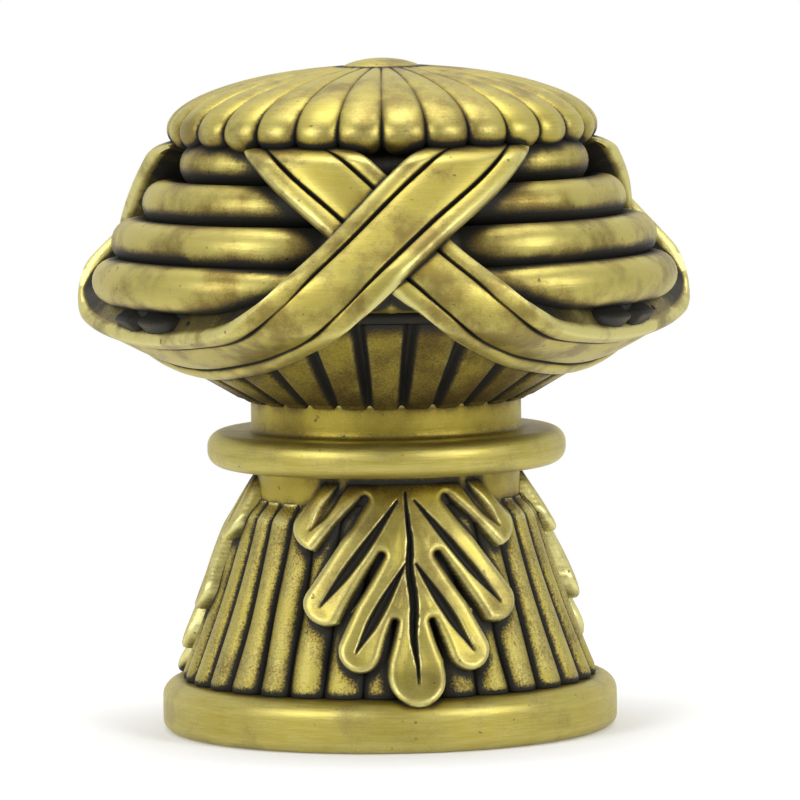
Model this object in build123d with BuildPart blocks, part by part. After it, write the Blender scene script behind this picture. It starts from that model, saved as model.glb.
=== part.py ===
# Curtain pole finial: one hollow brass casting that slips over the end of the pole, and the grub
# screw that grips it there. Millimetres, +Z up, the foot's underside at z = 0, the front towards -Y.
import os
from math import cos, exp, pi, radians, sin

from build123d import *

# Pole socket in the foot
pole_diameter = 28.0
pole_clearance = 0.4
socket_depth = 18.0

# Foot disc
foot_radius = 25.0
foot_height = 5.6
foot_top_round = 1.9
foot_bottom_round = 1.2

# Reeded bell
bell_reeds = 33
bell_foot_radius = 23.0
bell_top_radius = 16.2
bell_height = 19.6
bell_flare = 1.15
bell_reed_depth = 1.15
bell_first_groove = 3.3

# Necks and collar
lower_neck_radius = 14.6
lower_neck_height = 3.1
collar_radius = 19.7
collar_height = 5.2
upper_neck_radius = 14.85
upper_neck_height = 3.0

# Ribbed underside of the head
under_ribs = 27
under_foot_radius = 15.7
under_spread = 13.5
under_height = 10.9
under_flare = 1.2
under_swing = 5.6
under_groove_depth = 0.9
under_groove_share = 0.3

# Four stacked reeds, pinched in where the ribbons cross
reed_count = 4
reed_radius = 33.0
reed_step_in = 2.9
reed_step_up = 4.2
reed_section = 2.6
reed_facets = 72
reed_pinch = 2.2
reed_seat = 0.2
core_inset = 4.5

# Gadrooned cap and its button
cap_lobes = 30
cap_radius = 23.6
cap_drop = 2.1
cap_rise = 6.8
cap_lip = 1.9
cap_gap = 3.6
cap_lobe_depth = 1.0
button_radius = 3.7
button_height = 0.75

# Three swags of ribbon, each hung between two crossings
swag_count = 3
swag_turn = 1.6
swag_width = 9.6
swag_band = 5.0
swag_groove_depth = 0.75
swag_lift = 1.3
swag_depth = 3.4
swag_edge_drop = 1.0
swag_crown = 0.15
swag_cap_gap = 0.7
swag_weave = 0.5
swag_weave_reach = 13.0
swag_crossing = 60.0
swag_steps = 30

# Three acanthus leaves on the bell
leaf_count = 3
leaf_turn = 7.5
leaf_rise = 1.25
leaf_tuck = 2.4
leaf_neck_reach = 2.3
vein_width = 0.65
vein_depth = 0.7
slit_width = 0.8

# Grub screw behind, midway between two leaves
screw_radius = 2.5
screw_clearance = 0.02
screw_pole_gap = 0.1
screw_length = 5.0
screw_height = 9.5
screw_key = 2.5
screw_key_depth = 2.4
screw_chamfer = 0.4

# Levels, worked up from the foot
bell_top = foot_height + bell_height
collar_bottom = bell_top + lower_neck_height
collar_top = collar_bottom + collar_height
under_bottom = collar_top + upper_neck_height
under_top = under_bottom + under_height
reed_level = under_top + reed_section - reed_seat
top_reed_level = reed_level + (reed_count - 1) * reed_step_up
top_reed_radius = reed_radius - (reed_count - 1) * reed_step_in
cap_level = top_reed_level + cap_gap
cap_top = cap_level + cap_rise
button_ball = (button_radius**2 + button_height**2) / (2 * button_height)
socket_radius = (pole_diameter + pole_clearance) / 2
overlap = 0.6


def polar(radius, azimuth):
    """Point in plan; azimuth 0 faces the front and grows to the right."""
    return (radius * sin(radians(azimuth)), -radius * cos(radians(azimuth)))


def bell_radius(level):
    """Crest of the bell's reeds at a level."""
    share = min(max((bell_top - level) / bell_height, 0), 1)
    return bell_top_radius + (bell_foot_radius - bell_top_radius) * share**bell_flare


def under_radius(rise):
    """Mean crest of the ribs under the head, by the rise above their feet."""
    return under_foot_radius + under_spread * (1 - (1 - rise / under_height) ** under_flare)


def under_bulge(rise):
    """How far the ribs swing out below the middle of a swag, and in below a crossing."""
    share = rise / under_height
    return under_swing * share**1.3 * (1.55 - share)


def lobes(count, crest, depth, first_groove):
    """Closed ring of lobes faceted to a round, grooves between them."""
    pitch = 360 / count
    facets = ((0, 0), (0.11, 0.62), (0.34, 0.95), (0.66, 0.95), (0.89, 0.62))
    Polyline(
        [
            polar(crest - depth * (1 - height), first_groove + (index + share) * pitch)
            for index in range(count)
            for share, height in facets
        ],
        close=True,
    )


def grooved_ribs(crest, swing):
    """Closed ring of flat ribs with sharp grooves, pinched in threes by the swing."""
    pitch = 360 / under_ribs
    half_face = pitch * (1 - under_groove_share) / 2
    outline = []
    for index in range(under_ribs):
        for turn, drop in ((-half_face, 0), (half_face, 0), (pitch / 2, under_groove_depth)):
            azimuth = index * pitch + turn
            outline.append(polar(crest - swing * cos(radians(swag_count * azimuth)) - drop, azimuth))
    Polyline(outline, close=True)


def pinched_ring(crest):
    """Closed plan curve, full at the middle of each swag and drawn in at the crossings."""
    turns = [index * 360 / reed_facets for index in range(reed_facets)]
    pinch = [reed_pinch * (1 + cos(radians(swag_count * turn))) / 2 for turn in turns]
    Polyline([polar(crest - draw, turn) for draw, turn in zip(pinch, turns)], close=True)


# Bell: a trumpet of round reeds, blunt at the foot
with BuildPart() as bell:
    for share, inset, depth_share in ((-0.02, 1.3, 0.5), (0.02, 0.1, 0.95), (0.3, 0, 1), (0.65, 0, 0.85),
                                      (0.94, 0.15, 0.75), (1.02, 1.2, 0.4)):
        level = foot_height + share * bell_height
        with BuildSketch(Plane.XY.offset(level)):
            with BuildLine():
                lobes(bell_reeds, bell_radius(level) - inset, bell_reed_depth * depth_share, bell_first_groove)
            make_face()
    loft(ruled=True)

# Underside of the head: ribs that spread from the neck to the lowest reed
with BuildPart() as underside:
    for share, inset in ((0, 0), (0.14, 0), (0.29, 0), (0.45, 0), (0.61, 0), (0.76, 0), (0.9, 0.15), (1, 1.3)):
        rise = share * under_height
        with BuildSketch(Plane.XY.offset(under_bottom + rise)):
            with BuildLine():
                grooved_ribs(under_radius(rise) - inset, under_bulge(rise))
            make_face()
    loft(ruled=True)

# Reeds: round mouldings stacked on a softly three-sided plan, each seated on the one below
with BuildPart() as reeds:
    for index in range(reed_count):
        middle = reed_radius - index * reed_step_in - reed_section
        lowest = 0.9 * reed_section - reed_step_up if index else -0.96 * reed_section
        for share in (0, 0.22, 0.44, 0.64, 0.82, 0.94, 1):
            lift = lowest + (0.99 * reed_section - lowest) * share
            crest = middle + (reed_section**2 - lift**2) ** 0.5
            with BuildSketch(Plane.XY.offset(reed_level + index * reed_step_up + lift)):
                with BuildLine():
                    pinched_ring(crest)
                make_face()
        loft(ruled=True)

# Cap: a flat dome of round lobes with fat lower ends
with BuildPart() as cap:
    for tilt in (-82, -45, 0, 20, 36, 50, 62, 71, 78):
        slope = radians(tilt)
        if tilt < 0:
            crest, level = cap_radius - cap_lip * (1 - cos(slope)), cap_level + cap_drop * sin(slope)
        else:
            crest, level = cap_radius * cos(slope), cap_level + cap_rise * sin(slope)
        with BuildSketch(Plane.XY.offset(level)):
            with BuildLine():
                lobes(cap_lobes, crest, cap_lobe_depth * (crest / cap_radius) ** 0.8, 0)
            make_face()
    loft(ruled=True)

# Line that a ribbon lies on, from under the cap, down over the reeds and in under the head
with BuildLine(Plane.XZ) as swag_line:
    Spline(
        [(cap_radius - 0.4, cap_level + 2), (top_reed_radius + swag_lift, top_reed_level + 1)]
        + [
            (reed_radius - index * reed_step_in + swag_lift, reed_level + index * reed_step_up)
            for index in range(reed_count - 2, 0, -1)
        ]
        + [
            (reed_radius + 0.7 * swag_lift, reed_level + 0.3),
            (reed_radius + swag_lift, reed_level - 1.4),
            (reed_radius + 0.3, under_top - 1.6),
        ]
        + [
            (under_radius(rise) + under_bulge(rise) + swag_lift, under_bottom + rise)
            for rise in (0.59 * under_height, 0.28 * under_height, 0.08 * under_height)
        ]
    )
swag_run = swag_line.edge()

# Course of a ribbon: degrees from the bottom of its swag, share of the line travelled
swag_course = ((0, 0.79), (10, 0.78), (20, 0.752), (30, 0.705), (38, 0.63), (46, 0.523),
               (56, 0.374), (66, 0.242), (78, 0.128), (92, 0))
with BuildLine() as swag_chart:
    Spline([(-turn, share) for turn, share in reversed(swag_course[1:])] + list(swag_course))
swag_stations = [swag_chart.edge().position_at(step / swag_steps) for step in range(swag_steps + 1)]


def on_head(azimuth, along, rise):
    """Point over the ribbon's line, which may run on straight past its top."""
    reach = min(max(along, 0), swag_run.length)
    spot = swag_run.position_at(reach, position_mode=PositionMode.LENGTH)
    way = swag_run.tangent_at(reach, position_mode=PositionMode.LENGTH)
    spot += way * (along - reach) + Vector(-way.Z, 0, way.X) * rise
    return spot.rotate(Axis.Z, azimuth - 90)


def weave(turn):
    """Lift of a ribbon where it passes over another, and dip where it passes under."""
    over, under = ((turn - side) / swag_weave_reach for side in (swag_crossing, -swag_crossing))
    return swag_weave * (exp(-over * over) - exp(-under * under))


# Half a ribbon's section from its edge to its middle: a bead, a groove and the broad band
bead_width = (swag_width - swag_band) / 2
half_ribbon = [
    (swag_width / 2, -swag_edge_drop),
    (swag_width / 2 - 0.15 * bead_width, -0.35 * swag_edge_drop),
    (swag_width / 2 - 0.5 * bead_width, 0),
    (swag_width / 2 - 0.85 * bead_width, -0.35 * swag_groove_depth),
    (swag_band / 2, -swag_groove_depth),
    (0.44 * swag_band, -swag_crown),
    (0, swag_crown),
]

# Swag: a ribbon with a broad band between two round beads
with BuildPart() as swag:
    centres = [on_head(spot.X, spot.Y * swag_run.length, weave(spot.X)) for spot in swag_stations]
    for index, centre in enumerate(centres):
        turn, along = swag_stations[index].X, swag_stations[index].Y * swag_run.length
        way = (centres[min(index + 1, swag_steps)] - centres[max(index - 1, 0)]).normalized()
        up = on_head(turn, along, weave(turn) + 1) - centre
        up = (up - way * up.dot(way)).normalized()
        side = up.cross(way)
        reach = (centre.X**2 + centre.Y**2) ** 0.5
        level_way = Vector(cos(radians(turn)), sin(radians(turn)), 0)
        across = side.dot(level_way) / reach * 180 / pi
        down = side.dot(on_head(turn, along + 1, weave(turn)) - centre)

        def spot(offset, rise):
            point = on_head(turn + across * offset, along + down * offset, weave(turn) + rise) - centre
            return (point.dot(side), point.dot(up))

        left, right = (spot(hand * swag_width / 2, -swag_edge_drop)[0] * 0.8 for hand in (-1, 1))
        top = [spot(-offset, rise) for offset, rise in half_ribbon]
        top += [spot(offset, rise) for offset, rise in reversed(half_ribbon[:-1])]
        with BuildSketch(Plane(origin=centre, x_dir=side, z_dir=way)):
            with BuildLine():
                Polyline(top + [(right, -swag_depth), (left, -swag_depth)], close=True)
            make_face()
    loft(ruled=True)
    split(bisect_by=Plane.XY.offset(cap_level - swag_cap_gap), keep=Keep.BOTTOM)

# Leaf: lobes that fan out from a midrib, cut from a skin that follows the bell
leaf_top = bell_top + leaf_neck_reach
# Each lobe's middle across and up, half length, half width and lean from upright
leaf_lobes = ((0, 12.4, 7.2, 3.0, 0), (3.7, 15.3, 6.6, 2.6, 31), (5.9, 20.8, 7.0, 2.7, 42), (7.0, 25.0, 4.7, 2.1, 42))
# Root and tip of each slit between lobes, and of each vein, across and up
leaf_slits = ((1.9, 14.4, 3.1, 9.2), (3.1, 21.4, 7.6, 13.0), (4.8, 26.4, 9.6, 20.4))
leaf_veins = ((0, 26.4, 0, 7.5), (0.7, 19.7, 5.9, 10.8), (1.0, 26.2, 9.1, 15.9), (6.6, 27.0, 10.1, 23.0))


def skin(inner, outer):
    """Section of a skin over the bell, between two heights above its reeds."""
    bottom = foot_height - 0.3
    levels = [bottom + (leaf_top - bottom) * step / 6 for step in range(7)]
    tuck = [leaf_tuck * max(level - bell_top + leaf_neck_reach, 0) / (2 * leaf_neck_reach) for level in levels]
    run = [(bell_radius(level) - draw, level) for level, draw in zip(levels, tuck)]
    inside = [(reach + inner, level) for reach, level in run]
    outside = [(reach + outer, level) for reach, level in reversed(run)]
    Polyline(inside + outside, close=True)


def strokes(runs, width):
    """Round ended strokes on both sides of the midrib."""
    for root_across, root, tip_across, tip in runs:
        for hand in (-1, 1) if tip_across else (1,):
            middle = (hand * (root_across + tip_across) / 2, (root + tip) / 2)
            SlotCenterPoint(middle, (hand * tip_across, tip), width)


with BuildPart() as veins:
    with BuildSketch(Plane.XZ):
        strokes(leaf_veins, vein_width)
    extrude(amount=foot_radius + leaf_rise)
    with BuildSketch(Plane.XZ):
        with BuildLine():
            skin(leaf_rise - vein_depth, leaf_rise + 1)
        make_face()
    revolve(axis=Axis.Z, mode=Mode.INTERSECT)

with BuildPart() as leaf:
    with BuildSketch(Plane.XZ):
        for across, up, half_length, half_width, lean in leaf_lobes:
            with Locations((across, up)):
                Ellipse(half_width, half_length, rotation=lean)
            with Locations((-across, up)):
                Ellipse(half_width, half_length, rotation=-lean)
        with BuildLine():
            Polyline((-6, leaf_top), (6, leaf_top), (2, 18), (-2, 18), close=True)
        make_face()
    extrude(amount=foot_radius + leaf_rise)
    with BuildSketch(Plane.XZ):
        with BuildLine():
            skin(-2.5, leaf_rise)
        make_face()
    revolve(axis=Axis.Z, mode=Mode.INTERSECT)
    with BuildSketch(Plane.XZ):
        strokes(leaf_slits, slit_width)
    extrude(amount=foot_radius + leaf_rise, mode=Mode.SUBTRACT)
    add(veins.part, mode=Mode.SUBTRACT)

# Finial: everything cast together, with the pole's socket and the screw's hole
standing = (Align.CENTER, Align.CENTER, Align.MIN)
screw_way = polar(1, leaf_turn + 180)
screw_seat = Plane(origin=Vector(*screw_way) * (socket_radius + screw_pole_gap) + Vector(0, 0, screw_height), z_dir=(*screw_way, 0))
with BuildPart() as collar:
    Cylinder(collar_radius, collar_height, align=standing)
    fillet(collar.edges().filter_by(GeomType.CIRCLE), collar_height * 0.45)

with BuildPart() as finial:
    Cylinder(foot_radius, foot_height, align=standing)
    fillet(finial.edges().filter_by(GeomType.CIRCLE).sort_by(Axis.Z)[-1], foot_top_round)
    fillet(finial.edges().filter_by(GeomType.CIRCLE).sort_by(Axis.Z)[0], foot_bottom_round)
    add(bell.part)
    with Locations((0, 0, bell_top - overlap)):
        Cylinder(lower_neck_radius, lower_neck_height + 2 * overlap, align=standing)
    with Locations((0, 0, collar_bottom)):
        add(collar.part)
    with Locations((0, 0, collar_top - overlap)):
        Cylinder(upper_neck_radius, upper_neck_height + 2 * overlap, align=standing)
    add(underside.part)
    with BuildSketch(Plane.XZ):
        with BuildLine():
            Polyline(
                (0, under_top - overlap),
                (reed_radius - reed_pinch - core_inset, under_top - overlap),
                (top_reed_radius - reed_pinch - core_inset, cap_level),
                (0, cap_level),
                close=True,
            )
        make_face()
    revolve(axis=Axis.Z)
    add(reeds.part)
    add(cap.part)
    with Locations((0, 0, cap_top + button_height - button_ball)):
        Sphere(button_ball)
    with PolarLocations(0, swag_count, start_angle=60 + swag_turn):
        add(swag.part)
    with PolarLocations(0, leaf_count, start_angle=leaf_turn):
        add(leaf.part)
    Cylinder(socket_radius, socket_depth, align=standing, mode=Mode.SUBTRACT)
    with Locations(screw_seat.offset(-1)):
        Cylinder(screw_radius + screw_clearance, foot_radius - socket_radius, align=standing, mode=Mode.SUBTRACT)
finial.part.label = "finial"

# Grub screw: sunk in the casting, its hexagon socket facing out
with BuildPart() as grub_screw:
    with Locations(screw_seat):
        Cylinder(screw_radius, screw_length, align=standing)
    chamfer(grub_screw.edges().filter_by(GeomType.CIRCLE), screw_chamfer)
    with BuildSketch(screw_seat.offset(screw_length)):
        RegularPolygon(screw_key / 2, 6, major_radius=False)
    extrude(amount=-screw_key_depth, mode=Mode.SUBTRACT)
grub_screw.part.label = "grub_screw"

os.makedirs("parts", exist_ok=True)
export_step(finial.part, "parts/finial.step")
export_step(grub_screw.part, "parts/grub_screw.step")
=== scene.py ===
import math

import bpy
import numpy as np
from mathutils import Matrix, Vector
from mathutils.bvhtree import BVHTree


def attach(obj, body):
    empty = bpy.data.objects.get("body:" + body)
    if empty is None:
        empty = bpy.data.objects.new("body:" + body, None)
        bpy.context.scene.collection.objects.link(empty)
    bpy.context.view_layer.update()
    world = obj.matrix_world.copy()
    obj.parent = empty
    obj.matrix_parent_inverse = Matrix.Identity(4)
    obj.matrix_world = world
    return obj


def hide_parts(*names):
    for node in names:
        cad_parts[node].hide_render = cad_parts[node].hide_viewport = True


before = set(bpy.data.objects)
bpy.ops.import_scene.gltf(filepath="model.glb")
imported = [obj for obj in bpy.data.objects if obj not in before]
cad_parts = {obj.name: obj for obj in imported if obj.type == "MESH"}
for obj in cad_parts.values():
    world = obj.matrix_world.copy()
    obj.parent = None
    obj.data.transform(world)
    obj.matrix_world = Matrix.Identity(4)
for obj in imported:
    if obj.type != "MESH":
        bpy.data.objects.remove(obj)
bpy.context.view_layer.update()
mm = 0.001
print("frame loaded")


# camera first: it stands where the photograph was taken from
shot = {"target": (1.55, 0.0, 35.9), "distance": 780.0, "elevation": 4.9, "roll": 0.8, "lens": 319.4}


def setCamera():
    lift = math.radians(shot["elevation"])
    target = Vector(shot["target"]) * mm
    back = Vector((0, -math.cos(lift), math.sin(lift)))
    right = Vector((1, 0, 0))
    up = back.cross(right)
    turn = math.radians(shot["roll"])
    right, up = right * math.cos(turn) - up * math.sin(turn), right * math.sin(turn) + up * math.cos(turn)
    cam = bpy.data.objects.new("camera", bpy.data.cameras.new("camera"))
    bpy.context.scene.collection.objects.link(cam)
    rows = Matrix((right, up, back)).transposed().to_4x4()
    cam.matrix_world = Matrix.Translation(target + back * shot["distance"] * mm) @ rows
    cam.data.lens = shot["lens"]
    cam.data.sensor_width = 36
    cam.data.clip_start, cam.data.clip_end = 0.01, 20
    bpy.context.scene.camera = cam


setCamera()
print("camera set")


# small helpers for meshes: sizes in millimetres, azimuth in degrees, 0 at the front and growing to the right
def ringPoint(radius, azimuth, level):
    a = np.radians(azimuth)
    return np.stack(np.broadcast_arrays(radius * np.sin(a), -radius * np.cos(a), level), axis=-1)


def smooth(low, high, x):
    t = np.clip((x - low) / (high - low), 0, 1)
    return t * t * (3 - 2 * t)


def netFaces(rows, cols, wrapRows=False, wrapCols=True):
    r = np.arange(rows if wrapRows else rows - 1)
    c = np.arange(cols if wrapCols else cols - 1)
    r, c = np.meshgrid(r, c, indexing="ij")
    r2, c2 = (r + 1) % rows, (c + 1) % cols
    return np.stack([r * cols + c, r * cols + c2, r2 * cols + c2, r2 * cols + c], axis=-1).reshape(-1, 4)


def net(points, wrapRows=False, wrapCols=True, flip=False):  # rows run along, columns run round
    rows, cols = points.shape[:2]
    faces = netFaces(rows, cols, wrapRows, wrapCols)
    return points.reshape(-1, 3), faces[:, ::-1] if flip else faces


def lathe(profile, cols=256):  # profile of radius and level, from the bottom outside to the top
    p = np.array(profile, float)
    az = np.arange(cols) * 360 / cols
    return net(ringPoint(p[:, :1], az[None, :], p[:, 1:]))


def bend(centre, radius, start, end, count=10):  # points of a round corner in a profile
    a = np.radians(np.linspace(start, end, count))
    return [(centre[0] + radius * math.cos(t), centre[1] + radius * math.sin(t)) for t in a]


def cubic(xs, ys, x):  # natural cubic through the points
    xs, ys = np.array(xs, float), np.array(ys, float)
    h = np.diff(xs)
    n = len(xs)
    a = np.zeros((n, n))
    b = np.zeros((n,) + ys.shape[1:])
    a[0, 0] = a[-1, -1] = 1
    slope = np.diff(ys, axis=0) / h.reshape((-1,) + (1,) * (ys.ndim - 1))
    for i in range(1, n - 1):
        a[i, i - 1:i + 2] = h[i - 1], 2 * (h[i - 1] + h[i]), h[i]
        b[i] = 6 * (slope[i] - slope[i - 1])
    m = np.linalg.solve(a, b)
    k = np.clip(np.searchsorted(xs, x) - 1, 0, n - 2)
    shape = (-1,) + (1,) * (ys.ndim - 1)
    left, right, hk = ((x - xs[k]).reshape(shape), (xs[k + 1] - x).reshape(shape), h[k].reshape(shape))
    return (m[k] * right**3 + m[k + 1] * left**3) / (6 * hk) + (ys[k] / hk - m[k] * hk / 6) * right + (
        ys[k + 1] / hk - m[k + 1] * hk / 6) * left


def drift(seed, *coords):  # slow repeatable unevenness, about -1 to 1
    rng = np.random.default_rng(seed)
    total = 0
    for _ in range(4):
        phase = rng.uniform(0, 2 * np.pi)
        total = total + np.sin(phase + sum(c * f for c, f in zip(coords, rng.uniform(0.6, 1.8, len(coords)))))
    return total / 2.4


# the casting's levels, as the model has them
head = {"underBottom": 36.5, "underHeight": 10.9, "reedLevel": 49.8, "reedRadius": 33.0, "stepIn": 2.9, "stepUp": 4.2,
        "section": 2.6, "capLevel": 66.0, "capRadius": 23.6}
topReed = (head["reedRadius"] - 3 * head["stepIn"], head["reedLevel"] + 3 * head["stepUp"])


def underCrest(rise, azimuth):  # ribs swing out below the middle of a swag and in below a crossing
    share = rise / head["underHeight"]
    base = 15.7 + 13.5 * (1 - np.clip(1 - share, 0, None) ** 1.2)
    return base - 5.6 * share**1.3 * (1.55 - share) * np.cos(np.radians(3 * azimuth))


# ribbons: three swags, each from under the cap, round below the head and back up
ribbon = {"count": 3, "turn": 1.6, "edge": 4.8, "groove": 2.5, "lift": 1.3, "depth": 5.4, "wall": 1.5,
          "wideFrom": 33.0, "wideRoom": 1.0, "weave": 0.55, "weaveReach": 13.0,
          "tuckFrom": 63.3, "tuckTo": 65.2, "tuckIn": 0.8, "tuckEase": 1.4,
          "course": ((0, .79), (10, .78), (20, .752), (30, .705), (38, .63), (46, .523), (56, .374), (66, .242),
                     (78, .128), (92, 0))}  # degrees from the middle of a swag, and share of the way down the line


def ribbonLine():  # the line over the head that a ribbon lies on
    r, z, lift = head["reedRadius"], head["reedLevel"], ribbon["lift"]
    pts = [(head["capRadius"] - 0.4, head["capLevel"] + 2), (topReed[0] + lift, topReed[1] + 1)]
    pts += [(r - k * head["stepIn"] + lift, z + k * head["stepUp"]) for k in (2, 1)]
    underTop = head["underBottom"] + head["underHeight"]
    pts += [(r + 0.7 * lift, z + 0.3), (r + lift, z - 1.4), (r + 0.3, underTop - 1.6)]
    for share in (0.59, 0.28, 0.08):
        rise = share * head["underHeight"]
        pts.append((float(underCrest(rise, 60)) + lift, head["underBottom"] + rise))
    pts = np.array(pts)
    knots = np.concatenate([[0], np.cumsum(np.linalg.norm(np.diff(pts, axis=0), axis=1))])
    fine = cubic(knots, pts, np.linspace(0, knots[-1], 3000))
    run = np.concatenate([[0], np.cumsum(np.linalg.norm(np.diff(fine, axis=0), axis=1))])
    return run, fine


lineRun, linePoints = ribbonLine()
lineWay = np.gradient(linePoints, lineRun, axis=0)


def overHead(azimuth, along, rise):  # a point over that line, which runs on straight past its ends
    s = np.clip(along, 0, lineRun[-1])
    r, z = np.interp(s, lineRun, linePoints[:, 0]), np.interp(s, lineRun, linePoints[:, 1])
    wr, wz = np.interp(s, lineRun, lineWay[:, 0]), np.interp(s, lineRun, lineWay[:, 1])
    past = along - s
    return ringPoint(r + wr * past - wz * rise, azimuth, z + wz * past + wr * rise)


def ribbonCourse(count):  # degrees from the bottom of the swag and millimetres down the line, evenly spaced
    half = [(t, s * lineRun[-1]) for t, s in ribbon["course"]]
    both = np.array([(-t, s) for t, s in half[:0:-1]] + half)
    turn = np.linspace(-92, 92, 2000)
    along = cubic(both[:, 0], both[:, 1], turn)
    reach = np.interp(along, lineRun, linePoints[:, 0])
    run = np.concatenate([[0], np.cumsum(np.hypot(np.diff(turn) * np.pi / 180 * reach[1:], np.diff(along)))])
    even = np.linspace(0, run[-1], count)
    return np.interp(even, run, turn), np.interp(even, run, along)


def ribbonGap(azimuth, along):  # how far a place on the head lies outside the nearest ribbon's edge
    turn, run = ribbonCourse(160)
    reach = np.interp(along, lineRun, linePoints[:, 0])
    best = np.full(np.shape(azimuth), 99.0)
    for k in range(ribbon["count"]):
        middle = 60 + ribbon["turn"] + 120 * k
        off = (azimuth[..., None] - middle - turn + 180) % 360 - 180
        far = np.hypot(np.radians(off) * reach[..., None], along[..., None] - run)
        best = np.minimum(best, far.min(axis=-1))
    return best - ribbon["edge"]


def ribbonShells():
    turn, along = ribbonCourse(460)
    reach = np.interp(along, lineRun, linePoints[:, 0])
    stepTurn, stepAlong = np.gradient(np.radians(turn)) * reach, np.gradient(along)
    length = np.hypot(stepTurn, stepAlong)
    ta, tb = stepTurn / length, stepAlong / length
    overPass, underPass = (turn - 60) / ribbon["weaveReach"], (turn + 60) / ribbon["weaveReach"]
    weave = ribbon["weave"] * (np.exp(-overPass**2) - np.exp(-underPass**2))
    e, g = ribbon["edge"], ribbon["groove"]
    byGroove = np.linspace(g - 0.4, g + 0.4, 9)
    across = np.unique(np.concatenate([np.linspace(-e, e, 37), byGroove, -byGroove]))
    a = np.abs(across)
    off = (a - (e + g) / 2) / ((e - g) / 2 + 0.05)
    bead = -0.5 + 0.62 * np.sqrt(np.clip(1 - off**2, 0, 1)) - 0.5 * smooth(e - 0.35, e, a)
    band = 0.12 - 0.3 * (a / g) ** 4
    cut = np.exp(-((a - g) / 0.13) ** 2)
    soft = smooth(52, 40, np.abs(turn))[:, None]  # below the parting line the grooves are shallow
    top = np.where(a < g, band, bead)[None, :] - (0.55 - 0.3 * soft) * cut[None, :]
    top = top - 0.12 * soft * smooth(0, g, a)[None, :] * (a < g)
    top = top + 0.05 * drift(3, turn[:, None] / 9, across[None, :] / 3)
    offs = np.concatenate([[-e * 0.82, -e * 0.95], across, [e * 0.95, e * 0.82]])
    wall = np.repeat([[-ribbon["depth"], -ribbon["wall"]]], len(turn), axis=0)
    rise = np.concatenate([wall, top, wall[:, ::-1]], axis=1)
    shells = []
    for k in range(ribbon["count"]):
        az = 60 + ribbon["turn"] + 120 * k + turn[:, None] + np.degrees(tb / reach)[:, None] * offs[None, :]
        p = overHead(az, along[:, None] - ta[:, None] * offs[None, :], weave[:, None] + rise)
        room = ribbon["tuckTo"] - ribbon["tuckFrom"]
        high = np.clip(p[..., 2] - ribbon["tuckFrom"], 0, None)  # the ends curl in under the cap
        p[..., 2] += room * (1 - np.exp(-high / room)) - high
        pull = np.minimum(ribbon["tuckIn"] * high**2 / (high + ribbon["tuckEase"]), 3.5)
        p[..., :2] *= 1 - (pull / np.hypot(p[..., 0], p[..., 1]))[..., None]
        wide = np.hypot(p[..., 0], p[..., 1])
        past = np.clip(wide - ribbon["wideFrom"], 0, None)  # the widest places stay within the model's box
        p[..., :2] *= (1 - (past - ribbon["wideRoom"] * (1 - np.exp(-past / ribbon["wideRoom"]))) / wide)[..., None]
        ends = [np.repeat(row.mean(axis=0)[None], len(row), axis=0) for row in (p[0], p[-1])]
        shells.append(net(np.concatenate([ends[0][None], p, ends[1][None]]), wrapCols=True))
    return shells, len(offs)


# reeds: four round mouldings that sink where a ribbon crosses them
reed = {"pinch": 3.0, "reach": 9.5, "cols": 720, "round": 26}


def reedShells():
    az = np.arange(reed["cols"]) * 360 / reed["cols"]
    tilt = np.radians(np.arange(reed["round"]) * 360 / reed["round"])
    shells = []
    for k in range(4):
        crest, level = head["reedRadius"] - k * head["stepIn"], head["reedLevel"] + k * head["stepUp"]
        nearest = np.argmin(np.hypot(linePoints[:, 0] - crest - 1, linePoints[:, 1] - level))
        along = np.full(az.shape, lineRun[nearest])
        gap = np.clip(ribbonGap(az, along) / reed["reach"], 0, 1)
        drop = reed["pinch"] * (1 - gap) ** 1.8
        drop = drop + 0.06 * drift(20 + k, np.radians(az) * 5)
        thick = head["section"] * (1 - 0.1 * (1 - gap) ** 3)
        ring = crest - head["section"] - drop
        r = ring[None, :] + head["section"] * np.cos(tilt)[:, None]
        z = level + thick[None, :] * 0.98 * np.sin(tilt)[:, None]
        shells.append(net(ringPoint(r, az[None, :], z), wrapRows=True))
    return shells


# cap: a flat dome of tapering lobes with ball ends
cap = {"lobes": 30, "rise": 6.8, "drop": 2.1, "lip": 2.1, "depth": 1.15, "perLobe": 26}


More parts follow.
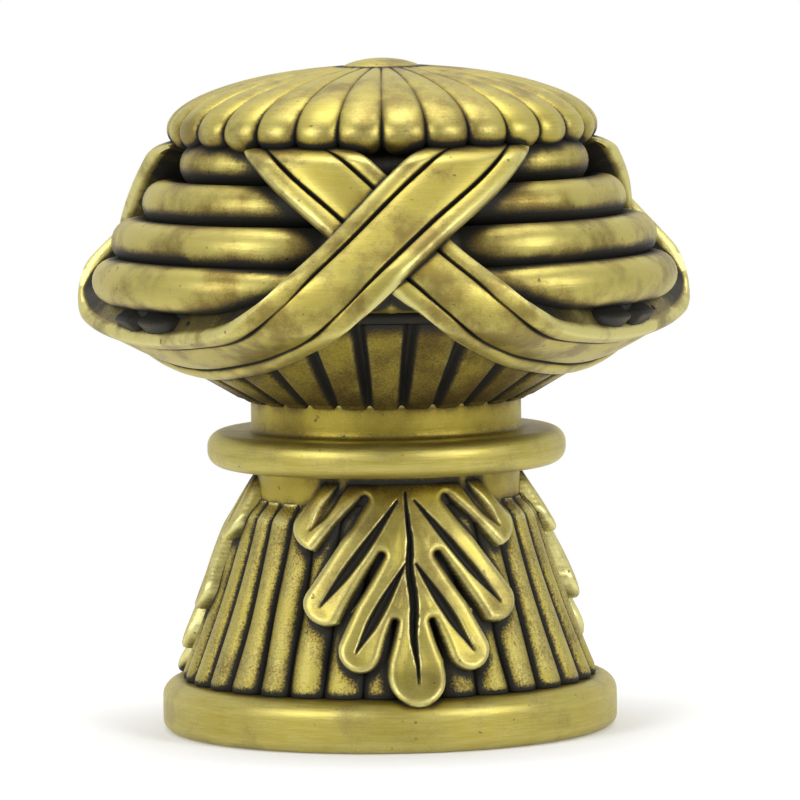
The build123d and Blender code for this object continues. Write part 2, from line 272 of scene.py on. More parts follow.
def capShells():
    cols = cap["lobes"] * cap["perLobe"]
    az = np.arange(cols) * 360 / cols
    t = (az / (360 / cap["lobes"])) % 1 * 2 - 1
    t = np.sign(t) * np.abs(t) ** 0.8  # more columns by the grooves
    az = (np.floor(az * cap["lobes"] / 360 + 1e-6) + (t + 1) / 2) * 360 / cap["lobes"]
    arch = np.sqrt(np.clip(1 - (0.985 * t) ** 2, 0, 1))
    rows = []
    for tilt in np.concatenate([np.linspace(-100, -8, 22), np.linspace(0, 84, 46)]):
        c, s = math.cos(math.radians(tilt)), math.sin(math.radians(tilt))
        if tilt < 0:
            crest, level = head["capRadius"] - cap["lip"] * (1 - c), head["capLevel"] + cap["drop"] * s
            depth, sink = cap["depth"] + 1.0 * s * s, 0.9 * s * s * (1 - arch)
        else:
            crest, level = head["capRadius"] * c, head["capLevel"] + cap["rise"] * s
            depth, sink = cap["depth"] * c**0.75, 0
        fall = depth * (1 - arch)
        steep = max(c, 0) if tilt >= 0 else 1
        rows.append(ringPoint(crest - fall * steep, az, level + sink - fall * (1 - steep) * 0.9))
    core = [(head["capRadius"] - 5.5, head["capLevel"] - 2.4), (0.02, head["capLevel"] - 2.4)]
    close = [ringPoint(np.full(cols, r), az, np.full(cols, z)) for r, z in core[::-1]]
    shells = [net(np.array(close + rows))]
    top = head["capLevel"] + cap["rise"]
    dome = np.linspace(0.1, 1.55, 18)
    button = [(4.7, top - 1.0), (4.6, top - 0.45)]
    button += [(4.5 * math.cos(a), top - 0.4 + 1.13 * math.sin(a) ** 1.4) for a in dome]
    return shells + [lathe(button, 96)]


# underside: flat ribs with dark grooves, and the lip that they end in
under = {"ribs": 27, "perRib": 30, "depth": 1.35}


def underShells():
    cols = under["ribs"] * under["perRib"]
    az = np.arange(cols) * 360 / cols
    pitch = 360 / under["ribs"]
    t = np.abs(((az / pitch + 0.5) % 1) * 2 - 1)
    cut = smooth(0.62, 0.97, t)
    rows = [ringPoint(np.full(cols, 0.02), az, np.full(cols, head["underBottom"] - 0.3))]
    for share in np.concatenate([[-0.03, 0], np.linspace(0.02, 0.84, 40), np.linspace(0.86, 1.0, 9)]):
        rise = share * head["underHeight"]
        crest = underCrest(max(rise, 0), az) - 2.45 * smooth(0.86, 1.0, share) - 0.8 * smooth(0.02, -0.03, share)
        keep = 0.55 + 0.45 * smooth(0, 0.3, share)
        reach = crest - under["depth"] * keep * cut + 0.4 * (1 - t**2)
        rows.append(ringPoint(reach, az, np.full(cols, head["underBottom"] + rise)))
    rows.append(ringPoint(np.full(cols, 0.02), az, np.full(cols, head["underBottom"] + head["underHeight"])))
    shells = [net(np.array(rows))]
    lip, round_ = 0.8, np.radians(np.arange(14) * 360 / 14)
    az = np.arange(360) * 1.0
    hide = 2.2 * smooth(0.6, -0.2, np.cos(np.radians(3 * az)))  # it shows only below a crossing
    r = (underCrest(0.93 * head["underHeight"], az) - 0.25 - hide)[None, :] + lip * np.cos(round_)[:, None]
    z = head["underBottom"] + 0.96 * head["underHeight"] + lip * np.sin(round_)[:, None] + 0 * az[None, :]
    shells.append(net(ringPoint(r, az[None, :], z), wrapRows=True))
    core = [(22.0, 46.0), (24.5, 46.6), (17.0, 64.5), (0.02, 64.5)]
    return shells + [lathe(core, 128)]


# stem: foot with the pole's socket, reeded bell, necks and collar
stem = {"footRadius": 25.0, "footHeight": 5.6, "socketRadius": 14.2, "socketDepth": 18.0,
        "bellFoot": 23.0, "bellTop": 16.2,
        "bellHeight": 19.6, "flare": 1.15, "reeds": 33, "perReed": 22, "depth": 1.6, "firstGroove": 3.3, "neck": 14.6,
        "collarRadius": 19.7, "collarBottom": 28.95, "collarHeight": 3.9, "upperNeck": 14.85,
        "screwTurn": 187.5, "screwLevel": 9.5, "screwHole": 2.52}
bellTopLevel = stem["footHeight"] + stem["bellHeight"]


def bellRadius(level):
    share = np.clip((bellTopLevel - level) / stem["bellHeight"], 0, 1)
    return stem["bellTop"] + (stem["bellFoot"] - stem["bellTop"]) * share ** stem["flare"]


def footShell():
    r, h, s, d = stem["footRadius"], stem["footHeight"], stem["socketRadius"], stem["socketDepth"]
    outer = [(s + 0.5, 0)] + [(q, 0) for q in np.linspace(s + 1, r - 1.2, 8)] + bend((r - 1.2, 1.2), 1.2, -80, 0)
    outer += [(r, z) for z in np.linspace(1.6, h - 2.1, 5)] + bend((r - 1.9, h - 1.9), 1.9, 0, 90, 16)
    outer += [(q, h - 0.02 * (r - 1.9 - q)) for q in np.linspace(r - 2.4, 19.5, 8)]
    inner = [(s + 0.35, d + 0.6), (0.02, d + 0.6), (0.02, d), (s - 0.3, d), (s, d - 0.3)]
    inner += [(s, z) for z in np.linspace(d - 1, 1, 12)] + [(s, 0.5)]
    profile = np.array(outer + [(s + 0.35, h)] + inner)
    az = np.arange(360) * 1.0
    return net(ringPoint(profile[:, :1], az[None, :], profile[:, 1:]), wrapRows=True)


def bellShell():
    cols = stem["reeds"] * stem["perReed"]
    pitch = 360 / stem["reeds"]
    u = np.arange(cols) / stem["perReed"]
    t = (u % 1) * 2 - 1
    t = np.sign(t) * np.abs(t) ** 0.85
    place = np.floor(u + 1e-6) + (t + 1) / 2
    arch = np.sqrt(np.clip(1 - (0.975 * t) ** 2, 0, 1))
    inner = stem["socketRadius"] + 0.3
    rows = [ringPoint(np.full(cols, inner), place * pitch, np.full(cols, 5.2))]
    for share in np.concatenate([np.linspace(-0.02, 0.06, 9), np.linspace(0.08, 1.02, 58)]):
        level = stem["footHeight"] + share * stem["bellHeight"]
        depth = stem["depth"] * (1 - 0.42 * smooth(0.3, 1.02, share))
        end = max(0.0, (0.045 - share) / 0.065)
        inset = 1.25 * (1 - math.sqrt(max(0.0, 1 - min(end, 1) ** 2))) + 1.25 * smooth(0.9, 1.03, share) ** 1.5
        sway = 0.5 * drift(7, place * 2 * np.pi / stem["reeds"] * 9, level / 4 + 0 * place)
        az = stem["firstGroove"] + place * pitch + sway
        rows.append(ringPoint(bellRadius(level) - inset - depth * (1 - arch), az, np.full(cols, level)))
    rows.append(ringPoint(np.full(cols, inner), place * pitch, np.full(cols, bellTopLevel + 0.4)))
    return net(np.array(rows), wrapRows=True)


def neckShells():
    n, c, b, h, u = stem["neck"], stem["collarRadius"], stem["collarBottom"], stem["collarHeight"], stem["upperNeck"]
    k = 0.44 * h
    low, high = stem["socketDepth"] + 0.7, head["underBottom"] + 0.6
    turned = [(0.02, low), (n - 0.2, low), (n, 19)] + [(n, z) for z in np.linspace(20, b - 0.5, 16)]
    turned += [(n + 0.15, b - 0.15), (n + 0.5, b)]
    turned += [(q, b) for q in np.linspace(n + 1, c - k, 5)] + bend((c - k, b + k), k, -84, 0, 14) + [(c, b + h / 2)]
    turned += bend((c - k, b + h - k), k, 0, 84, 14) + [(q, b + h) for q in np.linspace(c - k, u + 1, 5)]
    turned += [(u + 0.5, b + h), (u + 0.15, b + h + 0.15)]
    turned += [(u, z) for z in np.linspace(b + h + 0.5, high, 9)] + [(0.02, high)]
    return [lathe(turned, 360)]


# leaves: fluted lobes with thick rounded rims, laid over the bell
leaf = {"count": 3, "turn": 7.5, "rise": 1.4, "rim": 0.8, "dish": 0.12, "cell": 0.145, "top": 28.2,
        # level and radius of the ground that it lies on
        "ground": ((4.4, 23.4), (5.6, 22.95), (8.8, 21.7), (12, 20.45), (15, 19.35), (18, 18.3), (21, 17.2),
                   (22.5, 16.6), (23.7, 15.95), (25, 15.15), (26.5, 14.2), (28, 13.3)),
        # root and tip of each lobe on one side, with its half width at both
        "lobes": ((0, 27.0, 0, 8.1, 2.4, 3.1), (0, 8.1, 0, 7.2, 3.0, 2.2), (0.7, 19.9, 5.9, 10.7, 2.8, 2.25),
                  (0.9, 26.0, 9.05, 15.5, 3.0, 2.25), (5.5, 27.2, 9.6, 23.1, 2.95, 2.1),
                  (0, 27.4, 6.0, 28.4, 2.0, 1.6)),
        # root and tip of each slit between lobes, with its half width at both and its swell between them
        "slits": ((2.0, 13.75, 3.75, 8.7, 0.2, 0.26, 0.16), (3.0, 20.7, 7.7, 13.6, 0.22, 0.2, 0.14),
                  (4.3, 26.45, 10.9, 19.0, 0.28, 0.36, 0.32)),
        # root and tip of each vein, its greatest half width and depth
        "veins": ((0, 27.1, 0, 7.5, 0.38, 0.95), (0.55, 19.8, 6.2, 10.7, 0.52, 0.95),
                  (0.9, 26.3, 9.4, 15.5, 0.48, 0.95), (5.9, 28.3, 9.8, 23.3, 0.5, 0.85))}


def toLine(x, z, x0, z0, x1, z1):  # share along a stroke and distance from it
    dx, dz = x1 - x0, z1 - z0
    t = np.clip(((x - x0) * dx + (z - z0) * dz) / (dx * dx + dz * dz), 0, 1)
    return t, np.hypot(x - x0 - dx * t, z - z0 - dz * t)


def leafInside(x, z):  # depth inside the leaf's outline, below 0 outside
    best = None
    for x0, z0, x1, z1, r0, r1 in leaf["lobes"]:
        t, far = toLine(np.abs(x), z, x0, z0, x1, z1)
        d = r0 + (r1 - r0) * t - far
        if best is None:
            best = d
        else:
            k = 0.35  # soft join in the forks
            blend = np.clip(0.5 + 0.5 * (best - d) / k, 0, 1)
            best = d + (best - d) * blend + k * blend * (1 - blend)
    for x0, z0, x1, z1, r0, r1, swell in leaf["slits"]:
        t, far = toLine(np.abs(x), z, x0, z0, x1, z1)
        best = np.minimum(best, far - r0 - (r1 - r0) * t - swell * 4 * t * (1 - t))
    return best


def ontoOutline(x, z, which):
    d = leafInside(x, z)
    gx, gz = (leafInside(x + 0.02, z) - d) / 0.02, (leafInside(x, z + 0.02) - d) / 0.02
    size = np.maximum(gx * gx + gz * gz, 0.3)
    return np.where(which, x - d * gx / size, x), np.where(which, z - d * gz / size, z)


def leafShells():
    cell = leaf["cell"]
    x, z = np.meshgrid(np.arange(-12.6, 12.6 + cell, cell), np.arange(4.7, leaf["top"] + cell, cell))
    low = z < leaf["top"] - 0.1
    near = (np.abs(leafInside(x, z)) < 0.6 * cell) & low  # cells at the edge come onto the outline
    for _ in range(3):
        x, z = ontoOutline(x, z, near)
    keep = (near | (leafInside(x, z) > 0)).reshape(-1)
    faces = netFaces(*x.shape, wrapCols=False)
    faces = faces[keep[faces].sum(axis=1) >= 3]
    stray = np.zeros(x.size, bool)
    stray[faces] = True
    stray = (stray & ~keep).reshape(x.shape) & low
    for _ in range(3):
        x, z = ontoOutline(x, z, stray)
    corner = np.stack([x.reshape(-1)[faces], z.reshape(-1)[faces]], axis=-1)
    across, up = corner[:, 2] - corner[:, 0], corner[:, 3] - corner[:, 1]
    span = np.linalg.norm(corner - np.roll(corner, 1, axis=1), axis=-1).max(axis=1)
    area = np.abs(across[:, 0] * up[:, 1] - across[:, 1] * up[:, 0])
    faces = faces[(area > 0.3 * cell**2) & (span < 2.2 * cell)]  # no slivers
    used, faces = np.unique(faces, return_inverse=True)
    faces = faces.reshape(-1, 4)
    x, z = x.reshape(-1)[used], z.reshape(-1)[used]
    d = np.clip(leafInside(x, z), 0, None)
    edge = np.clip(d / leaf["rim"], 0, 1)
    h = leaf["rise"] * (0.3 + 0.7 * np.sqrt(1 - (1 - edge) ** 2)) - leaf["dish"] * smooth(0.7, 1.9, d)
    h = h + 0.3 * smooth(4, 11, np.abs(x)) + 0.8 * smooth(9.5, 5.5, z)  # tips curl off the bell
    wave = 0.13 * np.sin(z * 0.9) * smooth(26, 20, z)
    for n, (x0, z0, x1, z1, half, deep) in enumerate(leaf["veins"]):
        t, far = toLine(np.abs(x) if n else x - wave, z, x0, z0, x1, z1)
        width = half * smooth(-0.12 if n == 3 else 0, 0.55, t) ** 0.7 * smooth(1.0, 0.62, t) ** 0.8 + 0.05
        h = h - deep * (width / half) ** 0.5 * smooth(width + 0.14, 0.25 * width, far) * smooth(0.02, 0.3, d)
    sides = np.concatenate([faces[:, [k, (k + 1) % 4]] for k in range(4)])
    key = np.sort(sides, axis=1)
    _, first, count = np.unique(key[:, 0] * len(x) + key[:, 1], return_index=True, return_counts=True)
    rim = sides[first[count == 1]]  # walls drop from the outline into the bell
    rimPoints, rimAt = np.unique(rim, return_inverse=True)
    lower = rimAt.reshape(-1, 2) + len(x)
    faces = np.concatenate([faces, np.stack([rim[:, 1], rim[:, 0], lower[:, 0], lower[:, 1]], axis=1)])
    x, z = np.concatenate([x, x[rimPoints]]), np.concatenate([z, z[rimPoints]])
    h = np.concatenate([h, np.full(len(rimPoints), -1.5)])
    ground = np.array(leaf["ground"])
    base = cubic(ground[:, 0], ground[:, 1], z)
    az = np.degrees(np.arcsin(np.clip(x / (base + 0.7), -0.99, 0.99)))
    return [(ringPoint(base + h, az + leaf["turn"] + 120 * k, z), faces) for k in range(leaf["count"])]


# put the shells together, one object for each group of them
def makePiece(name, shells, sharp=48):
    points, faces, start = [], [], 0
    for p, f in shells:
        a, b, c, d = (p[f[:, k]] for k in range(4))
        if (np.cross(c - a, d - b) * (a + b + c + d)).sum() < 0:  # faces look outward
            f = f[:, ::-1]
        points.append(p)
        faces.append(f + start)
        start += len(p)
    points, faces = np.concatenate(points) * mm, np.concatenate(faces)
    mesh = bpy.data.meshes.new(name)
    mesh.vertices.add(len(points))
    mesh.vertices.foreach_set("co", points.astype(np.float32).ravel())
    mesh.loops.add(faces.size)
    mesh.loops.foreach_set("vertex_index", faces.astype(np.int32).ravel())
    mesh.polygons.add(len(faces))
    mesh.polygons.foreach_set("loop_start", (np.arange(len(faces)) * 4).astype(np.int32))
    mesh.update(calc_edges=True)
    mesh.validate()
    mesh.polygons.foreach_set("use_smooth", np.ones(len(mesh.polygons), bool))
    mesh.set_sharp_from_angle(angle=math.radians(sharp))
    piece = bpy.data.objects.new(name, mesh)
    bpy.context.scene.collection.objects.link(piece)
    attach(piece, "root")
    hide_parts("finial")
    print(name, len(mesh.vertices), "points", sum(len(p.vertices) - 2 for p in mesh.polygons), "triangles")
    return piece


ribbonSwags, ribbonColumns = ribbonShells()
pieces = {
    "cap": makePiece("cap", capShells()),
    "reeds": makePiece("reeds", reedShells()),
    "ribbons": makePiece("ribbons", ribbonSwags),
    "underside": makePiece("underside", underShells()),
    "stem": makePiece("stem", [footShell()] + neckShells()),
    "bell": makePiece("bell", [bellShell()]),
    "leaves": makePiece("leaves", leafShells()),
}


def drill(piece):  # the grub screw's hole, behind
    turn, lift = math.radians(stem["screwTurn"]), stem["screwLevel"]
    around = np.arange(48) * 2 * np.pi / 48
    out, side = np.array([math.sin(turn), -math.cos(turn), 0]), np.array([math.cos(turn), math.sin(turn), 0])
    ring = stem["screwHole"] * (np.cos(around)[:, None] * side + np.sin(around)[:, None] * np.array([0, 0, 1]))
    ends = [ring + out * reach + np.array([0, 0, lift]) for reach in (12.0, 27.0)]
    sides = [(k, (k + 1) % 48, 48 + (k + 1) % 48, 48 + k) for k in range(48)]
    mesh = bpy.data.meshes.new("drill")
    lids = [tuple(range(47, -1, -1)), tuple(range(48, 96))]
    mesh.from_pydata((np.concatenate(ends) * mm).tolist(), [], sides + lids)
    bit = bpy.data.objects.new("drill", mesh)
    bpy.context.scene.collection.objects.link(bit)
    cut = piece.modifiers.new("cut", "BOOLEAN")
    cut.operation, cut.solver, cut.object = "DIFFERENCE", "EXACT", bit
    bpy.context.view_layer.update()
    drilled = bpy.data.meshes.new_from_object(piece.evaluated_get(bpy.context.evaluated_depsgraph_get()))
    piece.modifiers.clear()
    piece.data = drilled
    bpy.data.objects.remove(bit)
    print(piece.name, "drilled", len(drilled.vertices), "points")


drill(pieces["bell"])
drill(pieces["stem"])
print("pieces made")


# patina, painted shade and wear: how sunk each point is, read by rays, which darkens hollows with patina and paints
# shade under overhangs and between parts, and how much it stands out, kept with the mesh
shadeAndWear = {"rays": 16, "far": 12.0, "mid": 4.0, "near": 1.3,
        "paintedEyeShade": 0.4, "paintedSideShade": 0.6, "eyeFrom": 44.2, "eyeTo": 46.2}


def cosDirections(count):
    k = np.arange(count) + 0.5
    radius, turn = np.sqrt(k / count) * 0.97, k * 2.39996
    return np.stack([radius * np.cos(turn), radius * np.sin(turn), np.sqrt(1 - radius**2)], axis=1)


def spread(mesh, values, times):  # even out over the neighbours
    edges = np.empty(len(mesh.edges) * 2, np.int32)
    mesh.edges.foreach_get("vertices", edges)
    a, b = edges[::2], edges[1::2]
    weight = np.bincount(a, minlength=len(values)) + np.bincount(b, minlength=len(values)) + 1.0
    for _ in range(times):
        values = (values + np.bincount(a, values[b], len(values)) + np.bincount(b, values[a], len(values))) / weight
    return values


def readShadeAndWear():
    points, faces, start = [], [], 0
    for piece in pieces.values():
        co = np.empty(len(piece.data.vertices) * 3, np.float32)
        piece.data.vertices.foreach_get("co", co)
        piece.data.calc_loop_triangles()
        corners = np.empty(len(piece.data.loop_triangles) * 3, np.int32)
        piece.data.loop_triangles.foreach_get("vertices", corners)
        points.append(co.reshape(-1, 3))
        faces.append(corners.reshape(-1, 3) + start)
        start += len(co) // 3
    tree = BVHTree.FromPolygons(np.concatenate(points).tolist(), np.concatenate(faces).tolist())
    local = cosDirections(shadeAndWear["rays"])
    reaches = {"shade": shadeAndWear["far"] * mm, "sunk": shadeAndWear["mid"] * mm, "tight": shadeAndWear["near"] * mm}
    far = reaches["shade"]
    for piece, co in zip(pieces.values(), points):
        mesh = piece.data
        normal = np.empty(len(co) * 3, np.float32)
        mesh.vertex_normals.foreach_get("vector", normal)
        normal = normal.reshape(-1, 3)
        side = np.cross(normal, np.where(np.abs(normal[:, 2:]) < 0.9, [[0, 0, 1]], [[1, 0, 0]]))
        side /= np.linalg.norm(side, axis=1)[:, None] + 1e-9
        other = np.cross(normal, side)
        spin = np.arange(len(co)) * 2.39996
        read = {label: np.zeros(len(co)) for label in reaches}
        starts = (co + normal * 0.04 * mm).tolist()
        for lx, ly, lz in local:
            c, s = np.cos(spin), np.sin(spin)
            ways = (side * (lx * c - ly * s)[:, None] + other * (lx * s + ly * c)[:, None] + normal * lz).tolist()
            found = (tree.ray_cast(o, w, far)[3] for o, w in zip(starts, ways))
            hit = np.array([far if d is None else d for d in found])
            for label, reach in reaches.items():
                read[label] += 1 - np.minimum(hit, reach) / reach
        for label, values in read.items():
            read[label] = spread(mesh, values / len(local), 2 if label == "tight" else 3)
        mean = np.stack([spread(mesh, co[:, k].astype(float), 2) for k in range(3)], axis=1)
        stand = ((co - mean) * normal).sum(axis=1) / mm
        read["proud"] = np.clip(stand * 6, -1, 1)
        if piece is pieces["underside"]:  # painted shade in the eyes of the swags, darker towards the reeds above
            read["sunk"] += shadeAndWear["paintedEyeShade"] * smooth(shadeAndWear["eyeFrom"], shadeAndWear["eyeTo"], co[:, 2] / mm)
        if piece is pieces["ribbons"]:  # and painted shade with patina down the ribbons' sides
            column = np.arange(len(co)) % ribbonColumns
            read["sunk"] += shadeAndWear["paintedSideShade"] * np.isin(column, (0, 1, ribbonColumns - 2, ribbonColumns - 1))
        for label, values in read.items():
            mesh.attributes.new(label, "FLOAT", "POINT").data.foreach_set("value", values.astype(np.float32))
        print(piece.name, {label: np.percentile(v, [10, 50, 90]).round(2).tolist() for label, v in read.items()})


readShadeAndWear()
print("wear read")


# shader maths as expressions
class Value:
    def __init__(self, shade, socket):
        self.shade, self.socket = shade, socket

    def maths(self, operation, *terms):
        made = self.shade.node("ShaderNodeMath", {"operation": operation}, dict(enumerate(terms)))
        return Value(self.shade, made.outputs[0])

    def __add__(self, other): return self.maths("ADD", self, other)
    def __radd__(self, other): return self.maths("ADD", other, self)
    def __sub__(self, other): return self.maths("SUBTRACT", self, other)
    def __rsub__(self, other): return self.maths("SUBTRACT", other, self)
    def __mul__(self, other): return self.maths("MULTIPLY", self, other)
    def __rmul__(self, other): return self.maths("MULTIPLY", other, self)
    def clip(self): return Value(self.shade, self.shade.node("ShaderNodeClamp", {}, {"Value": self}).outputs[0])
    def ease(self, low, high):
        return Value(self.shade, self.shade.node("ShaderNodeMapRange", {"interpolation_type": "SMOOTHSTEP"},
                                                 {"Value": self, "From Min": low, "From Max": high}).outputs[0])


class Shade:
    def __init__(self, tree):
        self.tree = tree
        tree.nodes.clear()

    def node(self, kind, settings, sockets):
        made = self.tree.nodes.new(kind)
        for name, value in settings.items():
            setattr(made, name, value)
        for name, value in sockets.items():
            if isinstance(value, Value):
                value = value.socket
            if isinstance(value, bpy.types.NodeSocket):
                self.tree.links.new(value, made.inputs[name])
            else:
                made.inputs[name].default_value = value
        return made

    def attribute(self, name):
        return Value(self, self.node("ShaderNodeAttribute", {"attribute_name": name}, {}).outputs["Fac"])

    def place(self, scale):
        spot = self.node("ShaderNodeTexCoord", {}, {}).outputs["Object"]
        return self.node("ShaderNodeVectorMath", {"operation": "MULTIPLY"}, {0: spot, 1: scale}).outputs[0]

    def noise(self, scale, detail=2.0, rough=0.5):
        sockets = {"Vector": self.place(scale), "Scale": 1.0, "Detail": detail, "Roughness": rough}
        return Value(self, self.node("ShaderNodeTexNoise", {}, sockets).outputs[0])

    def mix(self, share, first, second):
        return self.node("ShaderNodeMix", {"data_type": "RGBA"}, {0: share, 6: first, 7: second}).outputs[2]


# the pale colour is worn polish and partly a painted highlight
brass = {"polishAndHighlightColour": (0.76, 0.71, 0.31, 1), "body": (0.40, 0.325, 0.056, 1),
         # the darkest colour is patina and painted shade
         "brown": (0.15, 0.095, 0.022, 1), "patinaAndShade": (0.018, 0.017, 0.012, 1)}


# how many times a metre each pattern repeats
pattern = {"grain": (4200, 4200, 4200), "cloud": (170, 170, 170), "brush": (260, 260, 6500), "pits": (1300, 1300, 1300)}


def castBrass(name, look):
    mat = bpy.data.materials.new(name)
    mat.use_nodes = True
    sh = Shade(mat.node_tree)
    shade, sunk, tight, proud = (sh.attribute(label) for label in ("shade", "sunk", "tight", "proud"))
    grain = sh.noise(pattern["grain"], 4, 0.72)
    cloud = sh.noise(pattern["cloud"], 3, 0.6)
    brush = sh.noise(pattern["brush"], 2, 0.6)
    # black patina lies in what is sunk, with painted shade where the rays find overhangs, its edge broken up by the
    # grain
    depth = shade * look["wide"] + sunk * look["deep"] + tight * look["close"] - proud * 0.25
    depth = depth + (grain - 0.5) * look["grain"] + (cloud - 0.5) * 0.28
    pits = sh.noise(pattern["pits"], 1).ease(0.73, 0.8)
    blackPatinaAndShade = (depth.ease(look["from"], look["to"]) + pits * 0.6).clip()
    # brown tarnish follows the same sunk and shaded depth, so it is partly painted shade
    tarnishAndShade = (depth + (cloud - 0.5) * look["mottle"]).ease(look["from"] - 0.26, look["to"] - 0.14)
    # pale polish where the brass stands out, partly a painted highlight on rims and crests, less in what is sunk
    polishAndHighlight = (proud * 1.6 + (brush - 0.5) * look["brush"] * 4 + (cloud - 0.5) * 0.5 + 0.42 - sunk * 1.5).ease(0.2, 0.95)
    colour = sh.mix(polishAndHighlight * look["polishAndHighlight"], brass["body"], brass["polishAndHighlightColour"])
    colour = sh.mix(tarnishAndShade * look["brown"], colour, brass["brown"])
    colour = sh.mix(blackPatinaAndShade, colour, brass["patinaAndShade"])
    rough = look["rough"] + (brush - 0.5) * look["brush"] + (grain - 0.5) * 0.16 + blackPatinaAndShade * 0.15
    height = grain * look["bumpGrain"] + brush * look["bumpBrush"]
    bump = sh.node("ShaderNodeBump", {}, {"Height": height, "Strength": 0.35, "Distance": 0.0002})
    shader = sh.node("ShaderNodeBsdfPrincipled", {}, {"Base Color": colour, "Roughness": rough.clip(),
                                                      "Metallic": 1 - blackPatinaAndShade * 0.55, "Normal": bump.outputs[0]})
    sh.node("ShaderNodeOutputMaterial", {}, {"Surface": shader.outputs[0]})
    return mat


# weights of the patina and painted shade readings and of the polish with painted highlight, where black starts and is
# full, and the surface's own finish
looks = {
    "cap": {"polishAndHighlight": 0.65, "wide": 0.3, "deep": 0.9, "close": 0.9, "grain": 0.45,
            "from": 0.10, "to": 0.46, "brown": 0.7, "mottle": 1.5,
            "rough": 0.46, "brush": 0.08, "bumpGrain": 0.4, "bumpBrush": 0.12},
    # the reeds' wide weight paints shade on their lower halves
    "reeds": {"polishAndHighlight": 0.28, "wide": 0.65, "deep": 0.95, "close": 0.8, "grain": 0.40,
              "from": 0.02, "to": 0.54, "brown": 0.85, "mottle": 1.3,
              "rough": 0.46, "brush": 0.16, "bumpGrain": 0.4, "bumpBrush": 0.3},
    "ribbons": {"polishAndHighlight": 0.62, "wide": 0.25, "deep": 0.55, "close": 0.6, "grain": 0.42,
                "from": 0.10, "to": 0.46, "brown": 0.7, "mottle": 1.9,
                "rough": 0.46, "brush": 0.08, "bumpGrain": 0.4, "bumpBrush": 0.1},
    # the underside gets the most black and brown, partly painted shade under the head
    "underside": {"polishAndHighlight": 0.3, "wide": 0.6, "deep": 0.9, "close": 0.9, "grain": 0.70,
                  "from": -0.12, "to": 0.46, "brown": 0.95, "mottle": 1.0,
                  "rough": 0.48, "brush": 0.05, "bumpGrain": 0.8, "bumpBrush": 0.0},
    "stem": {"polishAndHighlight": 0.6, "wide": 0.3, "deep": 0.35, "close": 0.45, "grain": 0.40,
             "from": 0.18, "to": 0.60, "brown": 0.6, "mottle": 1.1,
             "rough": 0.46, "brush": 0.12, "bumpGrain": 0.4, "bumpBrush": 0.25},
    "bell": {"polishAndHighlight": 0.9, "wide": 0.45, "deep": 1.35, "close": 0.9, "grain": 1.2,
             "from": 0.04, "to": 0.48, "brown": 0.75, "mottle": 1.0,
             "rough": 0.48, "brush": 0.05, "bumpGrain": 1.2, "bumpBrush": 0.0},
    "leaves": {"polishAndHighlight": 1.0, "wide": 0.2, "deep": 0.7, "close": 0.8, "grain": 0.40,
               "from": 0.12, "to": 0.48, "brown": 0.75, "mottle": 1.0,
               "rough": 0.46, "brush": 0.05, "bumpGrain": 0.4, "bumpBrush": 0.0},
}
for name, look in looks.items():
    pieces[name].data.materials.append(castBrass(name + "Brass", look))


def darkSteel():
    mat = bpy.data.materials.new("darkSteel")
    mat.use_nodes = True
    sh = Shade(mat.node_tree)
    grain, cloud = sh.noise((4000, 4000, 4000), 2), sh.noise((500, 500, 500), 2)
    colour = sh.mix(cloud.ease(0.4, 0.7), (0.07, 0.066, 0.06, 1), (0.15, 0.14, 0.125, 1))
    bump = sh.node("ShaderNodeBump", {}, {"Height": grain, "Strength": 0.25, "Distance": 0.0001})
    shader = sh.node("ShaderNodeBsdfPrincipled", {}, {"Base Color": colour, "Roughness": 0.36 + (grain - 0.5) * 0.2,
                                                      "Metallic": 1.0, "Normal": bump.outputs[0]})
    sh.node("ShaderNodeOutputMaterial", {}, {"Surface": shader.outputs[0]})
    return mat


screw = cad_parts["grub_screw"]
screw.data.materials.clear()
screw.data.materials.append(darkSteel())
print("finishes made")


# studio: white ground, broad soft lamps left, right and above
studio = {"floor": 1.2, "front": 0.20, "back": 1.0,
          # name, place, size and power of each lamp
          "lamps": (("leftLamp", (-0.75, -0.75, 0.55), 0.55, 7.5), ("rightLamp", (0.75, -0.70, 0.50), 0.5, 6.5),
                    ("topLamp", (0.0, 0.05, 1.0), 0.7, 6.0))}


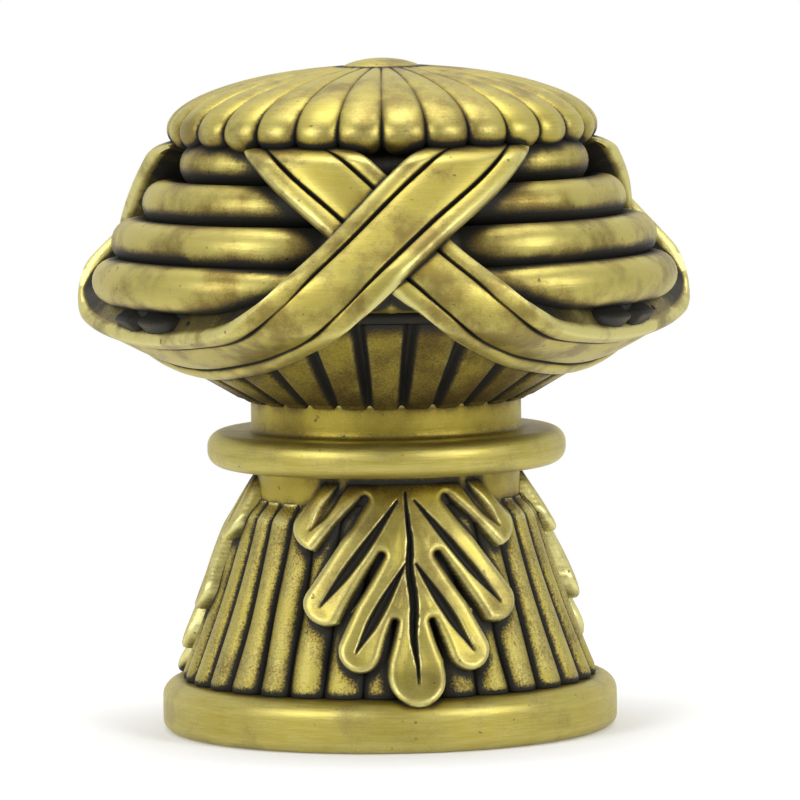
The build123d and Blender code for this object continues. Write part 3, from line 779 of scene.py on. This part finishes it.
def makeStudio():
    mesh = bpy.data.meshes.new("floor")
    count = 96
    around = [2 * math.pi * k / count for k in range(count)]
    ring = [(studio["floor"] * math.cos(a), studio["floor"] * math.sin(a), -0.00005) for a in around]
    mesh.from_pydata(ring, [], [list(range(count))])
    floor = bpy.data.objects.new("floor", mesh)
    bpy.context.scene.collection.objects.link(floor)
    mat = bpy.data.materials.new("paleFloor")
    mat.use_nodes = True
    sh = Shade(mat.node_tree)
    spot = sh.node("ShaderNodeTexCoord", {}, {}).outputs["Object"]
    away = Value(sh, sh.node("ShaderNodeVectorMath", {"operation": "LENGTH"}, {0: spot}).outputs["Value"])
    pale = sh.node("ShaderNodeBsdfDiffuse", {}, {"Color": (0.93, 0.93, 0.93, 1)})
    white = sh.node("ShaderNodeEmission", {}, {"Color": (1, 1, 1, 1), "Strength": 1.0})
    share = away.ease(0.03, 0.14) * 0.85 + 0.15
    both = sh.node("ShaderNodeMixShader", {}, {0: share, 1: pale.outputs[0], 2: white.outputs[0]})
    sh.node("ShaderNodeOutputMaterial", {}, {"Surface": both.outputs[0]})
    floor.data.materials.append(mat)
    world = bpy.data.worlds.new("studio")
    world.use_nodes = True
    sh = Shade(world.node_tree)
    way = sh.node("ShaderNodeTexCoord", {}, {}).outputs["Generated"]
    parts = sh.node("ShaderNodeSeparateXYZ", {}, {0: way})
    back = Value(sh, parts.outputs[1]).ease(-0.3, 0.6)
    level = studio["front"] + back * (studio["back"] - studio["front"])
    path = sh.node("ShaderNodeLightPath", {}, {}).outputs
    rays = ("Is Camera Ray", "Is Glossy Ray", "Is Transmission Ray")
    camera, glossy, through = (Value(sh, path[ray]) for ray in rays)
    seen = (camera + (glossy + through) * back).clip()  # metal shows the white ground behind it too
    strength = level * (1 - seen) + seen
    ground = sh.node("ShaderNodeBackground", {}, {"Color": (1, 1, 1, 1), "Strength": strength})
    sh.node("ShaderNodeOutputWorld", {}, {"Surface": ground.outputs[0]})
    bpy.context.scene.world = world
    for name, place, size, power in studio["lamps"]:
        lamp = bpy.data.lights.new(name, "AREA")
        lamp.shape, lamp.size, lamp.energy = "DISK", size, power
        obj = bpy.data.objects.new(name, lamp)
        obj.location = place
        obj.rotation_euler = (Vector((0, 0, 0.035)) - Vector(place)).to_track_quat("-Z", "Y").to_euler()
        bpy.context.scene.collection.objects.link(obj)


makeStudio()
bpy.context.scene.view_settings.view_transform = "Standard"
print("studio lit")

bpy.context.view_layer.update()
